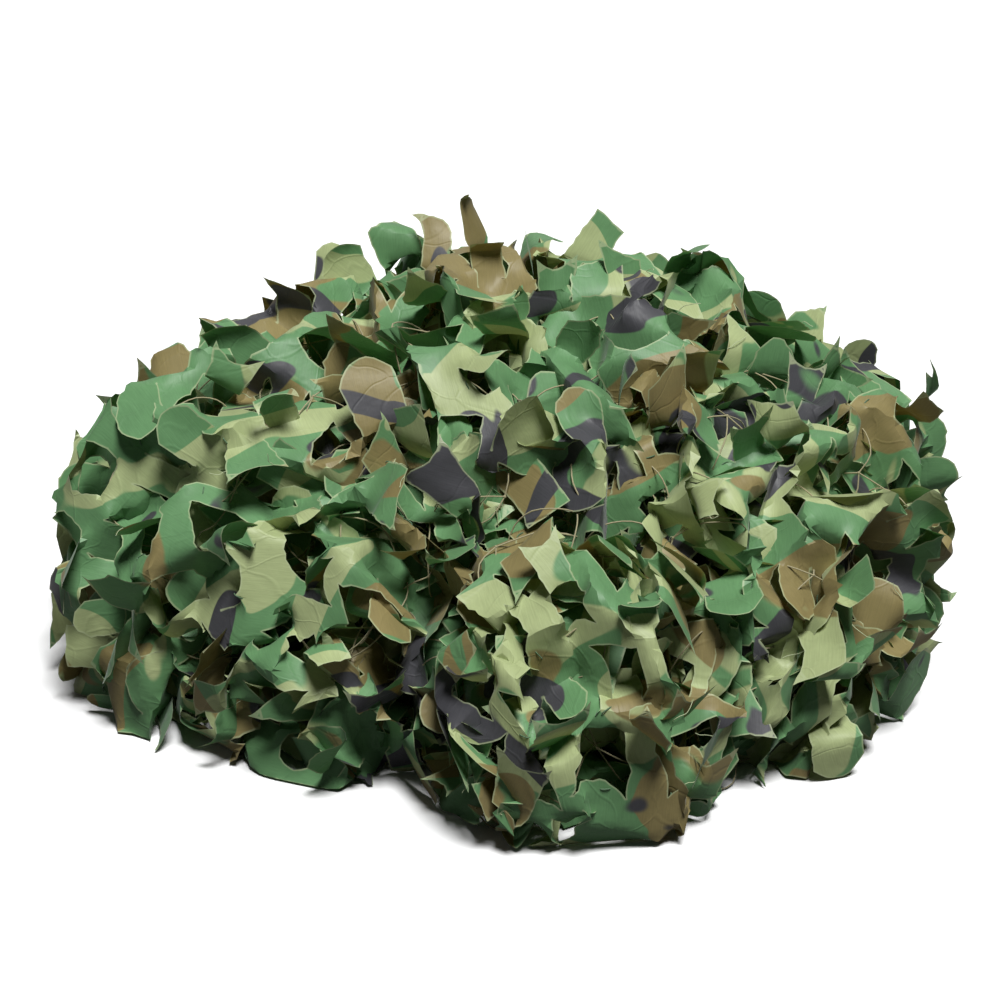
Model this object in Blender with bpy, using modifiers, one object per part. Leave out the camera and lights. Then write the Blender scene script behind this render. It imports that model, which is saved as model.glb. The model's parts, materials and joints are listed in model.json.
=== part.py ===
"""Camouflage netting: a die-cut leaf cloth on a mesh of cord, folded back and forth into a slumped heap.

Metres, +Z up. The heap stands on z = 0, and its broad side faces -Y.
Three pieces share the same lumpy form, which the table FOLD_ENDS gives:
  inner_folds   the buried length of net, one back-and-forth section of thick, leafy layers
  mesh_net      the knotted cord net that the cloth is sewn to, over the folds
  leaf_cloth    the outermost length of die-cut cloth, an open web with a leaf bent out of each hole
"""

import math
import random

import bpy
import numpy as np
from mathutils.bvhtree import BVHTree

# ---------------------------------------------------------------- the heap's form
# Each bunch of folds is a blunt lump. Centre on the floor plan and its height, then half sizes, in metres.
FOLD_ENDS = (
    # name           x       y      z      half_x  half_y  half_z
    ("crown",        0.030,  0.053, 0.000, 0.180,  0.165,  0.243),
    ("left_end",    -0.172,  0.030, 0.000, 0.106,  0.114,  0.203),
    ("front_left",  -0.082, -0.034, 0.000, 0.108,  0.110,  0.155),
    ("front_corner", 0.048, -0.125, 0.000, 0.084,  0.104,  0.150),
    ("front_right",  0.150, -0.042, 0.010, 0.080,  0.101,  0.155),
    ("right_end",    0.196,  0.043, 0.060, 0.080,  0.116,  0.128),
    ("back_left",   -0.060,  0.123, 0.000, 0.130,  0.110,  0.213),
    ("back_right",   0.110,  0.123, 0.000, 0.135,  0.110,  0.190),
)
BLUNTNESS = 2.6            # exponent of each lump: 2 is an ellipsoid, more is boxier
BLEND_SHARPNESS = 7.0      # how tightly two lumps meet
HEART = np.array((0.020, 0.028, 0.040))  # the point that every ray starts from
LONGEST_RAY = 0.42
RAY_STEPS = 160
HEM_ANGLE = math.radians(98)   # from straight up to the hem
EVENNESS = 1.2             # over 1, cloth is spent faster over the crown, so that its cells stay even

# ---------------------------------------------------------------- inner folds
LAYERS = 5
LAYER_THICKNESS = 0.038    # a gathered, leafy length of net
CLOSEST_LAYERS = 0.006     # least gap between two layers
INNER_SHARE = 0.7          # layers are spaced by the heap's height this far out, short of its steep sides
FOLDS_INSET = 0.009        # how far the folds stay inside the heap's form, at its sides
TOP_INSET = 0.024          # and under its crown
SIDE_TUCK = 0.006          # how far the layers' side edges stay in from there
ROUNDING = 0.22            # how far round, in radians, a corner of the layers is rounded off
STEPS_ALONG = 4            # faces along one layer
STEPS_ACROSS = 4           # faces across it
STEPS_ROUND_FOLD = 2       # rows of points round a fold

# ---------------------------------------------------------------- mesh net
NET_CELLS = 9
NET_CORD = 0.002
NET_DEPTH = 0.004          # how far the net lies under the heap's form
NET_HEM = 0.93             # how far down the net reaches, as a share of the way to the hem

# ---------------------------------------------------------------- leaf cloth
CELLS = 14                 # cut-outs along each side of the cloth
CLOTH_THICKNESS = 0.002
CLOTH_LIFT = 0.010         # mean height of the web over the heap's form
CRUMPLE = 0.004            # how far the web rises and falls from that
WEB_SHARE = 0.22           # web beside a hole, as a share of the pitch
JITTER = 0.16              # how far a web point strays, as a share of the pitch
WEB_STRAY = 0.045          # how far that share strays
CLOTH_HEM = 0.985          # how far down the cloth reaches, as a share of the way to the hem
LOWEST_CLOTH = 0.004       # the hem's height over the floor
LONGEST_HOLE = 0.031       # a leaf's length goes by its hole, up to this
FLATTER_ON_TOP = 0.3       # share of its lift that a leaf loses where the cloth lies level
HANGING_SHARE = 0.55       # leaves that hang from the upper edge of their hole
TRIES = 24                 # ways tried to bend a leaf clear of the others
NEAR = 0.11                # leaves closer than this could touch
CLEAR_FROM = 0.12          # a leaf is kept clear from this share of its first half
CLEAR_PAST = 0.10          # to this much past its tip
CLEAR_THICKNESS = 0.0022   # and this much to each side of its middle
# One leaf is bent out of each hole. Lengths and widths are shares of the hole, angles in degrees.
LEAVES = (
    # name          length  middle  tip    lift  curl
    ("tongue",      1.25,   0.88,   0.72,  38,   26),
    ("point",       1.60,   0.76,   0.10,  54,  -20),
    ("half_disc",   1.05,   0.92,   0.60,  66,   40),
    ("strip",       1.60,   0.72,   0.62,  44,   24),
    ("hooked",      1.35,   0.80,   0.30,  50,   50),
)
SEED = 11


# ---------------------------------------------------------------- form of the heap
def fullness(points):
    """Over 1 inside the heap, 1 on its surface and under 1 outside."""
    total = np.zeros(points.shape[:-1])
    for _, x, y, z, half_x, half_y, half_z in FOLD_ENDS:
        away = np.abs((points - (x, y, z)) / (half_x, half_y, half_z)) ** BLUNTNESS
        total += np.exp(-BLEND_SHARPNESS * (away.sum(-1) ** (1 / BLUNTNESS) - 1))
    return total


def reach(starts, directions):
    """How far the heap reaches from each start along its unit direction."""
    steps = np.linspace(0.0, LONGEST_RAY, RAY_STEPS)
    along = starts[..., None, :] + directions[..., None, :] * steps[:, None]
    full = np.log(fullness(along))
    last = RAY_STEPS - 1 - np.argmax(full[..., ::-1] > 0, axis=-1)
    last = np.clip(last, 0, RAY_STEPS - 2)[..., None]
    before = np.take_along_axis(full, last, -1)[..., 0]
    after = np.take_along_axis(full, last + 1, -1)[..., 0]
    return steps[last[..., 0]] + before / (before - after) * (steps[1] - steps[0])


def disc_from_square(u, v):
    """Square cloth laid over a round heap: (share of the way to the hem, bearing), with areas kept even."""
    u, v = np.asarray(u, float), np.asarray(v, float)
    sideways = np.abs(u) >= np.abs(v)
    with np.errstate(divide="ignore", invalid="ignore"):
        bearing = np.where(sideways, math.pi / 4 * v / u, math.pi / 2 - math.pi / 4 * u / v)
    bearing = np.nan_to_num(bearing)
    return np.where(sideways, u, v), bearing


def over_heap(u, v, lift):
    """The point of the heap's surface under cloth point (u, v), from -1 to 1 each way, raised by lift."""
    share, bearing = disc_from_square(u, v)
    angle = share * (EVENNESS - (EVENNESS - 1) * np.abs(share)) * HEM_ANGLE
    directions = np.stack(
        [np.sin(angle) * np.cos(bearing), np.sin(angle) * np.sin(bearing), np.cos(angle)], -1
    )
    starts = np.broadcast_to(HEART, directions.shape)
    return HEART + directions * (reach(starts, directions) + lift)[..., None]


def waist(bearing, height):
    """The heap's radius about its upright axis at this bearing and height, with narrow corners rounded off."""
    bearings = bearing + np.array((0.0, -ROUNDING, ROUNDING, -2 * ROUNDING, 2 * ROUNDING))
    starts = np.tile((HEART[0], HEART[1], height), (len(bearings), 1))
    directions = np.stack([np.cos(bearings), np.sin(bearings), np.zeros(len(bearings))], -1)
    radii = reach(starts, directions)
    return float(min(radii[0], radii.mean()))


def top_over(x, y):
    """The height of the heap over this point of the floor."""
    return float(reach(np.array((x, y, 0.0)), np.array((0.0, 0.0, 1.0))))


# ---------------------------------------------------------------- Blender helpers
def material(name, colour, roughness):
    """A plain cloth or cord finish."""
    made = bpy.data.materials.new(name)
    made.use_nodes = True
    shader = made.node_tree.nodes["Principled BSDF"]
    shader.inputs["Base Color"].default_value = (*colour, 1.0)
    shader.inputs["Roughness"].default_value = roughness
    return made


def mesh_object(name, mesh, finish, collection):
    """A named object of that mesh, in the heap's collection."""
    made = bpy.data.objects.new(name, mesh)
    made.data.materials.append(finish)
    collection.objects.link(made)
    return made


def cells(count):
    """Every cell of a square grid with this many along each side."""
    return [(i, j) for i in range(count) for j in range(count)]


def square(i, j, side):
    """The four points round a cell, in a grid of side x side points, anticlockwise from above."""
    return [i * side + j, (i + 1) * side + j, (i + 1) * side + j + 1, i * side + j + 1]


def sheet_mesh(name, points, faces):
    """An open surface, facing out of the heap."""
    mesh = bpy.data.meshes.new(name)
    mesh.from_pydata([tuple(p) for p in points], [], faces)
    mesh.validate()
    return mesh


def solidify(piece, thickness):
    """Gives a surface its thickness, half each side."""
    wall = piece.modifiers.new("thickness", "SOLIDIFY")
    wall.thickness = thickness
    wall.offset = 0.0


# ---------------------------------------------------------------- inner folds
def layer_step(share, bearing):
    """From one layer's middle to the next, there: the layers lie closer where the heap is lower."""
    radius = INNER_SHARE * share * waist(bearing, LAYER_THICKNESS)
    top = top_over(HEART[0] + radius * math.cos(bearing), HEART[1] + radius * math.sin(bearing))
    step = (top - TOP_INSET - LAYER_THICKNESS) / (LAYERS - 1)
    return max(step, LAYER_THICKNESS + CLOSEST_LAYERS)


def fold_path():
    """The stations of the folded length, end to end: (layer, how far along it, angle round the fold)."""
    stations = []
    for layer in range(LAYERS):
        way = 1 if layer % 2 == 0 else -1
        for step in range(STEPS_ALONG + 1):
            stations.append((layer, way * (2 * step / STEPS_ALONG - 1), None))
        if layer < LAYERS - 1:
            for step in range(1, STEPS_ROUND_FOLD + 1):
                stations.append((layer, way, math.pi * step / (STEPS_ROUND_FOLD + 1)))
    return stations


def folds_point(layer, along, turn, across):
    """A point on the middle of the folded length."""
    flat_x = along * math.sqrt(1 - across**2 / 2)
    flat_y = across * math.sqrt(1 - along**2 / 2)
    share, bearing = math.hypot(flat_x, flat_y), math.atan2(flat_y, flat_x)
    step = layer_step(share, bearing)
    height = LAYER_THICKNESS / 2 + layer * step
    towards_upper = (1 + along if layer % 2 == 0 else 1 - along) / 2
    if layer == LAYERS - 1:
        towards_upper = 0.0
    rim_height = height + step * towards_upper + LAYER_THICKNESS / 2
    tuck = SIDE_TUCK + (step + LAYER_THICKNESS) / 2 * along**4
    radius = share * (waist(bearing, rim_height) - FOLDS_INSET - tuck)
    if turn is not None:
        radius += step / 2 * math.sin(turn)
        height += step / 2 * (1 - math.cos(turn))
    return (
        HEART[0] + radius * math.cos(bearing),
        HEART[1] + radius * math.sin(bearing),
        height,
    )


def make_inner_folds(collection, finish):
    """One ribbon that runs to and fro through the heap, thickened and rounded."""
    stations = fold_path()
    rows = [2 * j / STEPS_ACROSS - 1 for j in range(STEPS_ACROSS + 1)]
    points = [folds_point(*station, across) for station in stations for across in rows]
    wide = len(rows)
    faces = [
        (i * wide + j, (i + 1) * wide + j, (i + 1) * wide + j + 1, i * wide + j + 1)
        for i in range(len(stations) - 1)
        for j in range(STEPS_ACROSS)
    ]
    piece = mesh_object("inner_folds", sheet_mesh("inner_folds", points, faces), finish, collection)
    piece.data.shade_smooth()
    solidify(piece, LAYER_THICKNESS)
    soft = piece.modifiers.new("soft_edges", "SUBSURF")
    soft.levels = 1
    soft.render_levels = 1


# ---------------------------------------------------------------- mesh net
def make_mesh_net(collection, finish):
    """A net of cord, knotted in squares, laid over the folds."""
    side = NET_CELLS + 1
    ticks = np.linspace(-NET_HEM, NET_HEM, side)
    u, v = np.meshgrid(ticks, ticks, indexing="ij")
    knots = over_heap(u, v, -NET_DEPTH).reshape(-1, 3)
    net = sheet_mesh("mesh_net", knots, [square(i, j, side) for i, j in cells(NET_CELLS)])
    piece = mesh_object("mesh_net", net, finish, collection)
    cords = piece.modifiers.new("cords", "WIREFRAME")
    cords.thickness = NET_CORD
    cords.use_boundary = True
    cords.use_even_offset = False


# ---------------------------------------------------------------- leaf cloth
def bent_leaf(root_a, root_b, inward, outward, kind):
    """A leaf's points, two by two: its root, its middle and its tip."""
    _, length, middle, tip, lift, curl = kind
    across = root_b - root_a
    centre = (root_a + root_b) / 2
    rows = [root_a, root_b]
    level = outward[2] / np.linalg.norm(outward)
    lift *= 1 - FLATTER_ON_TOP * max(level, 0.0)
    for share, angle in ((middle, math.radians(lift)), (tip, math.radians(lift + curl))):
        centre = centre + length / 2 * (math.cos(angle) * inward + math.sin(angle) * outward)
        rows += [centre - across / 2 * share, centre + across / 2 * share]
    return rows


def body_of(leaf):
    """The part of a leaf that must stay clear, a little longer and thicker than the leaf: (points, faces)."""
    root = [leaf[0] + (leaf[2] - leaf[0]) * CLEAR_FROM, leaf[1] + (leaf[3] - leaf[1]) * CLEAR_FROM]
    tip = [leaf[4] + (leaf[4] - leaf[2]) * CLEAR_PAST, leaf[5] + (leaf[5] - leaf[3]) * CLEAR_PAST]
    rows = root + leaf[2:4] + tip
    normal = np.cross(leaf[1] - leaf[0], leaf[2] - leaf[0])
    normal = normal / np.linalg.norm(normal) * CLEAR_THICKNESS
    points = [p + normal * side for side in (-1, 1) for p in rows]
    return points, [(0, 1, 3, 2), (2, 3, 5, 4), (6, 8, 9, 7), (8, 10, 11, 9)]


def web_points(draw):
    """The web's grid: points that stray a little from even, over the heap."""
    side = CELLS + 1
    pitch = 2 * CLOTH_HEM / CELLS
    u, v, lift = np.empty((3, side, side))
    for i, j in cells(side):
        on_hem = i in (0, CELLS) or j in (0, CELLS)
        stray = 0 if on_hem else JITTER * pitch
        u[i, j] = -CLOTH_HEM + i * pitch + draw.uniform(-stray, stray)
        v[i, j] = -CLOTH_HEM + j * pitch + draw.uniform(-stray, stray)
        lift[i, j] = CLOTH_LIFT + draw.uniform(-CRUMPLE, CRUMPLE)
    web = over_heap(u, v, lift)
    web[..., 2] = np.maximum(web[..., 2], LOWEST_CLOTH)
    return list(web.reshape(-1, 3))


def cut_holes(points, draw):
    """Cuts a hole in every cell. Returns the web's faces and each hole's four points."""
    faces, holes = [], []
    for i, j in cells(CELLS):
        ring = square(i, j, CELLS + 1)
        corners = [points[k] for k in ring]
        base = len(points)
        for corner, opposite in zip(corners, corners[2:] + corners[:2]):
            share = WEB_SHARE + draw.uniform(-WEB_STRAY, WEB_STRAY)
            points.append(corner + (opposite - corner) * share)
        for k in range(4):
            n = (k + 1) % 4
            faces.append((ring[k], ring[n], base + n, base + k))
        holes.append([base, base + 1, base + 2, base + 3])
    return faces, holes


def leaf_over(hole, points, root, kind):
    """A leaf of that kind, bent out of a hole from the hole's edge number root."""
    a, b = points[hole[root]], points[hole[(root + 1) % 4]]
    c, d = points[hole[(root + 2) % 4]], points[hole[(root + 3) % 4]]
    inward = (c + d - a - b) / 2
    outward = np.cross(b - d, c - a)
    outward /= np.linalg.norm(outward)
    inward -= outward * inward.dot(outward)
    inward *= min(1.0, LONGEST_HOLE / np.linalg.norm(inward))
    return bent_leaf(a, b, inward, outward * np.linalg.norm(inward), kind)


def tree_of(points, faces):
    """The faces, ready to be tested against others."""
    return BVHTree.FromPolygons([tuple(p) for p in points], faces)


def is_clear(leaf, near):
    """Whether a leaf stays above the floor and off the web and the leaves near it."""
    if min(p[2] for p in leaf[2:]) < LOWEST_CLOTH:
        return False
    tree = tree_of(*body_of(leaf))
    return not any(tree.overlap(other) for other in near)


def make_leaf_cloth(collection, finish):
    """An open web, draped over the heap, with a leaf bent out of every hole."""
    draw = random.Random(SEED)
    points = web_points(draw)
    faces, holes = cut_holes(points, draw)
    web = tree_of(points, faces)
    placed = []
    for hole in holes:
        centre = sum(points[k] for k in hole) / 4
        near = [web] + [tree for at, tree in placed if np.linalg.norm(at - centre) < NEAR]
        upper = max(range(4), key=lambda k: points[hole[k]][2] + points[hole[(k + 1) % 4]][2])
        for _ in range(TRIES):
            root = upper if draw.random() < HANGING_SHARE else draw.randrange(4)
            leaf = leaf_over(hole, points, root, draw.choice(LEAVES))
            if is_clear(leaf, near):
                break
        else:
            continue
        placed.append((centre, tree_of(*body_of(leaf))))
        low, high, middle = hole[root], hole[(root + 1) % 4], len(points)
        points.extend(leaf[2:])
        faces.append((low, high, middle + 1, middle))
        faces.append((middle, middle + 1, middle + 3, middle + 2))
    piece = mesh_object("leaf_cloth", sheet_mesh("leaf_cloth", points, faces), finish, collection)
    solidify(piece, CLOTH_THICKNESS)
    print(len(holes), "holes,", len(placed), "leaves")


def main():
    for thing in list(bpy.data.objects):
        bpy.data.objects.remove(thing)
    heap = bpy.data.collections.new("camouflage_netting")
    bpy.context.scene.collection.children.link(heap)
    make_inner_folds(heap, material("shaded_net", (0.035, 0.060, 0.028), 0.85))
    make_mesh_net(heap, material("net_cord", (0.42, 0.38, 0.24), 0.8))
    make_leaf_cloth(heap, material("printed_cloth", (0.13, 0.26, 0.12), 0.7))


main()
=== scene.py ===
# %% [markdown]
# # Camouflage netting, lying in a heap
#
# The real thing is one light sheet of printed polyester. A die cuts hundreds of curved slits into
# it, so that each slit frees a tongue of cloth, which is called a leaf. The sheet is then sewn, a
# stitch every few centimetres, to a net of thin cord. Heaped up, the cloth between two stitches is
# longer than the way between them, so it buckles, twists and throws its leaves outward.
#
# This lesson cuts the flat cloth, heaps it, lets it settle by a small simulation, prints it, and
# finishes it with net cords, stitches, loose threads and light.

import json
import math
import time

import bmesh
import bpy
import numpy as np
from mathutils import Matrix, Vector
from mathutils.geometry import delaunay_2d_cdt

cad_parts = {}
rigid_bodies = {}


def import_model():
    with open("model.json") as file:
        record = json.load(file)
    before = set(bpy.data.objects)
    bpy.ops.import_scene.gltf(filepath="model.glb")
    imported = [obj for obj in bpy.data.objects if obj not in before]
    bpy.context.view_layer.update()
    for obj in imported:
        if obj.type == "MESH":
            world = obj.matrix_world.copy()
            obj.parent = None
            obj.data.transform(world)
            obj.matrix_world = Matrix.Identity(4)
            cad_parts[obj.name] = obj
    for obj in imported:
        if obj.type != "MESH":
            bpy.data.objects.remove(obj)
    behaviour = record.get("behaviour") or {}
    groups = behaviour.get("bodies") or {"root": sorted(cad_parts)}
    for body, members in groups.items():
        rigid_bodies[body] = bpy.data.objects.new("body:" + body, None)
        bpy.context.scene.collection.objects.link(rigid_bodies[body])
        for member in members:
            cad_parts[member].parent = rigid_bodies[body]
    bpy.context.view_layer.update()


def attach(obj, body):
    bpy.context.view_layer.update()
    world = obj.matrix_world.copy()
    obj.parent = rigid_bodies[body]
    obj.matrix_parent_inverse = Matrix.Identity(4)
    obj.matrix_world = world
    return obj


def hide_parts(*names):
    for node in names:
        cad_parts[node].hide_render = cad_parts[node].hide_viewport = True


for startup_object in list(bpy.data.objects):
    bpy.data.objects.remove(startup_object)
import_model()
scene = bpy.context.scene
started = time.time()

# %% [markdown]
# ## Four helpers
#
# Colours are written as the hex values that a colour picker shows. Those are sRGB, and Blender's
# sockets take linear light, so one function turns them. A second one adds a node to a tree with
# its settings and its links, which keeps each material short enough to read at a glance. A third
# brings directions to length one, and a fourth adds up the rows of an array group by group. Many
# of the steps below need these two.

# %% Colour, node, direction and adding helpers
def colour(hex_value):
    """A hex colour as the linear RGBA that a socket takes."""
    channels = [int(hex_value[i:i + 2], 16) / 255 for i in (1, 3, 5)]
    linear = [c / 12.92 if c <= 0.04045 else ((c + 0.055) / 1.055) ** 2.4 for c in channels]
    return (*linear, 1.0)


def add_node(tree, kind, links=None, inputs=None, **settings):
    """Adds a node: settings are its own, inputs are socket values, links are sockets to read."""
    node = tree.nodes.new(kind)
    for name, value in settings.items():
        setattr(node, name, value)
    for name, value in (inputs or {}).items():
        node.inputs[name].default_value = value
    for name, source in (links or {}).items():
        tree.links.new(source, node.inputs[name])
    return node


def unit(vectors):
    """The same directions, each of length one."""
    return vectors / (np.linalg.norm(vectors, axis=-1, keepdims=True) + 1e-12)


def added_up(group, rows, count):
    """The rows of each group added up, where group says which of the count groups a row is in."""
    return np.stack([np.bincount(group, rows[:, k], count) for k in range(rows.shape[1])], -1)


print("helpers ready; a mid grey in linear light is", [round(c, 3) for c in colour("#808080")[:3]])

# %% [markdown]
# ## The heap's form
#
# A heap of netting has no surface of its own: its form comes from the folds that lie in it. The
# CAD model says where each group of folds ends, as blunt lumps that blend into each other, and the
# cloth here is laid over the same lumps. A point is on the surface where the lumps' shares add up
# to one. For speed the distance from the heap's heart to that surface is found once for a grid of
# directions, and read back between its lines.

# %% The lumps of folds and the way out to their surface
FOLD_ENDS = (
    # name           x       y      z      half_x  half_y  half_z
    ("crown",        0.030,  0.053, 0.000, 0.180,  0.165,  0.243),
    ("left_end",    -0.172,  0.030, 0.000, 0.106,  0.114,  0.203),
    ("front_left",  -0.082, -0.034, 0.000, 0.108,  0.110,  0.155),
    ("front_corner", 0.048, -0.125, 0.000, 0.084,  0.104,  0.150),
    ("front_right",  0.150, -0.042, 0.010, 0.080,  0.101,  0.155),
    ("right_end",    0.196,  0.043, 0.060, 0.080,  0.116,  0.128),
    ("back_left",   -0.060,  0.123, 0.000, 0.130,  0.110,  0.213),
    ("back_right",   0.110,  0.123, 0.000, 0.135,  0.110,  0.190),
)
BLUNTNESS = 2.6
BLEND_SHARPNESS = 7.0
HEART = np.array((0.020, 0.028, 0.040))
LONGEST_RAY = 0.42
HEM_ANGLE = math.radians(98)
POLAR_STEPS, BEARING_STEPS = 91, 181
POLAR_END = math.radians(125)


def fullness(points):
    """The lumps' shares at each point, added up: 1 on the heap's surface, more inside it."""
    total = np.zeros(points.shape[:-1])
    for _, x, y, z, half_x, half_y, half_z in FOLD_ENDS:
        inside = np.abs(points - (x, y, z)) / (half_x, half_y, half_z)
        distance = (inside ** BLUNTNESS).sum(-1) ** (1 / BLUNTNESS)
        total += np.exp(-BLEND_SHARPNESS * (distance - 1))
    return total


def direction(polar, bearing):
    """A unit direction from its angle off the vertical and its bearing."""
    return np.stack((np.sin(polar) * np.cos(bearing), np.sin(polar) * np.sin(bearing),
                     np.cos(polar)), -1)


def reach_table():
    """The distance from the heart to the surface, for a grid of directions."""
    polar = np.linspace(0, POLAR_END, POLAR_STEPS)[:, None]
    bearing = np.linspace(-math.pi, math.pi, BEARING_STEPS)[None, :]
    ways = direction(polar + 0 * bearing, bearing + 0 * polar)
    steps = np.linspace(0, LONGEST_RAY, 160)
    values = np.stack([np.log(fullness(HEART + ways * step)) for step in steps])
    last = len(steps) - 1 - np.argmax(values[::-1] > 0, 0)
    last = np.minimum(last, len(steps) - 2)
    inner = np.take_along_axis(values, last[None], 0)[0]
    outer = np.take_along_axis(values, last[None] + 1, 0)[0]
    return steps[last] + (steps[1] - steps[0]) * inner / (inner - outer)


REACH = reach_table()


def reach(polar, bearing):
    """The distance to the surface in any direction, read between the table's lines."""
    row = np.clip(polar / POLAR_END, 0, 1) * (POLAR_STEPS - 1)
    column = (bearing / (2 * math.pi) + 0.5) % 1.0 * (BEARING_STEPS - 1)
    i = np.minimum(row.astype(int), POLAR_STEPS - 2)
    j = np.minimum(column.astype(int), BEARING_STEPS - 2)
    a, b = row - i, column - j
    low = REACH[i, j] * (1 - b) + REACH[i, j + 1] * b
    high = REACH[i + 1, j] * (1 - b) + REACH[i + 1, j + 1] * b
    return low * (1 - a) + high * a


print(f"reach from the heart: {REACH.min():.3f} to {REACH.max():.3f} m")

# %% [markdown]
# ## Cutting the flat cloth
#
# The die's slits are open curves, and each one frees a leaf. Seven forms, from a round leaf to a
# fishtail, are listed by their corners, with a share of the leaves and a bow for every edge. They
# are mirrored, stretched and turned a little at random, and set in staggered rows, no closer to
# each other than the necks of cloth that have to hold. Small slits fill the room that is left.
# Mostly straight edges and clear corners tell the eye that this is cut cloth and not real leaves.

# %% The die's leaf forms
LEAF_FORMS = (
    # name        share  corners in mm, each with how far the edge to the next one bows out
    ("round_leaf", 0.12, ((-15, 23, 0.03), (-17, -8, 0.36), (17, -10, 0.03), (14, 23, 0))),
    ("pointed",    0.19, ((-15, 24, 0.02), (-17, -4, -0.05), (4, -30, -0.04), (17, -2, 0.02),
                          (14, 24, 0))),
    ("fishtail",   0.19, ((-13, 24, -0.02), (-19, -24, -0.24), (19, -21, -0.03), (13, 24, 0))),
    ("square_end", 0.15, ((-14, 24, 0.00), (-16, -22, 0.02), (14, -24, 0.00), (16, 22, 0))),
    ("slanted",    0.17, ((-15, 24, 0.00), (-18, -27, -0.04), (16, -7, 0.02), (15, 24, 0))),
    ("hooked",     0.09, ((-12, 25, 0.05), (-20, -14, 0.04), (14, -26, -0.16), (9, 2, 0.00),
                          (16, 22, 0))),
    ("half_moon",  0.09, ((-28, 7, 0.40), (28, 5, 0))),
)
SLIT_PITCH = (0.051, 0.050)
NECK = 0.0088
GRAIN = 0.0049
RAGGED = 0.0004


def slit_curve(corners, grain, random):
    """One slit of a leaf form, as points about a grain apart, its open side towards +Y."""
    size = random.uniform(0.88, 1.14, 2) * (random.choice((-1, 1)), 1) / 1000
    points = []
    for (x0, y0, bow), (x1, y1, _) in zip(corners, corners[1:]):
        start, end = np.array((x0, y0)) * size, np.array((x1, y1)) * size
        along = end - start
        count = max(1, round(np.linalg.norm(along) * (1 + 2 * bow * bow) / grain))
        share = np.arange(count)[:, None] / count
        outward = np.array((along[1], -along[0])) * -np.sign(size[0])
        points.append(start + along * share - outward * bow * 4 * share * (1 - share))
    points.append([end])
    points = np.concatenate(points)
    return points + random.normal(0, RAGGED, points.shape)


def fitting_slit(place, size, width, length, slits, grain, random):
    """A slit of some leaf form about a place, or None where it would come too near others."""
    shares = np.cumsum([share for _, share, _ in LEAF_FORMS])
    form = int(np.searchsorted(shares, random.uniform(0, shares[-1])))
    curve = slit_curve(LEAF_FORMS[form][2], grain, random) * size
    angle = random.normal(0, 0.35) + (math.pi if random.uniform() < 0.4 else 0)
    turned = np.array(((math.cos(angle), math.sin(angle)), (-math.sin(angle), math.cos(angle))))
    curve = curve @ turned + place + random.normal(0, 0.003, 2)
    if (np.abs(curve) > np.array((width, length)) / 2 - NECK / 2).any():
        return None
    near = [slit for slit in slits if np.abs(slit[0] - curve[0]).max() < 0.12]
    gaps = [np.linalg.norm(slit[:, None] - curve[None], axis=2).min() for slit in near]
    return curve if min(gaps, default=1) > NECK else None


def cut_plan(width, length, grain, random):
    """The slits of a sheet: staggered rows of them, and then small ones wherever there is room."""
    places = []
    for row, y in enumerate(np.arange(-length / 2 + 0.02, length / 2 - 0.01, SLIT_PITCH[1])):
        start = -width / 2 + 0.02 + (row % 2) * SLIT_PITCH[0] / 2
        for x in np.arange(start, width / 2 - 0.01, SLIT_PITCH[0]):
            places += [((x, y), 0.95 ** attempt) for attempt in range(9)]
    in_rows = len(places)
    spots = random.uniform(-0.5, 0.5, (in_rows // 5, 2)) * (width, length)
    places += [(tuple(spot), random.uniform(0.45, 0.70)) for spot in spots]
    slits, taken = [], set()
    for number, (place, size) in enumerate(places):
        if number < in_rows and place in taken:
            continue
        curve = fitting_slit(place, size, width, length, slits, grain, random)
        if curve is not None:
            slits.append(curve)
            taken.add(place)
    return slits


trial = cut_plan(0.5, 0.5, GRAIN, np.random.default_rng(3))
print(f"a trial square of 0.5 m takes {len(trial)} slits")

# %% [markdown]
# ## A mesh that the die has parted
#
# A constrained triangulation takes a lattice of points and the slits as edges that it must keep.
# `split_edges` then parts the mesh along them, but leaves the ends of each slit joined, as the die
# does. A triangle whose three points are all on a cut gets a fourth point in its middle, so that a
# narrow neck can bend. Each leaf remembers its hinge, which is the line between its slit's two
# ends, and how far out from the hinge each of its points lies, to open it later. Each point also
# keeps its distance to the cut, for the pale line that the blade leaves there.

# %% From slits to a parted mesh
def grown_mesh(width, length, slits, grain):
    """Flat points and triangles of a sheet that has every slit point among its vertices."""
    columns = np.arange(-width / 2, width / 2 + grain / 3, grain)
    rows = np.arange(-length / 2, length / 2 + grain / 3, grain * 0.866)
    lattice = np.stack(np.meshgrid(columns, rows), -1)
    lattice[1::2, :, 0] += grain / 2
    lattice = lattice.reshape(-1, 2)
    keep = np.ones(len(lattice), bool)
    for slit in slits:
        low, high = slit.min(0) - grain, slit.max(0) + grain
        near = np.flatnonzero(((lattice > low) & (lattice < high)).all(1))
        gaps = np.linalg.norm(lattice[near, None] - slit[None], axis=2).min(1)
        keep[near[gaps < 0.62 * grain]] = False
    points = np.concatenate(slits + [lattice[keep]])
    edges, first = [], 0
    for slit in slits:
        edges += [(i, i + 1) for i in range(first, first + len(slit) - 1)]
        first += len(slit)
    made = delaunay_2d_cdt([Vector(p) for p in points], edges, [], 0, 1e-7, False)
    return np.array([tuple(p) for p in made[0]]), made[2], edges


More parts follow.
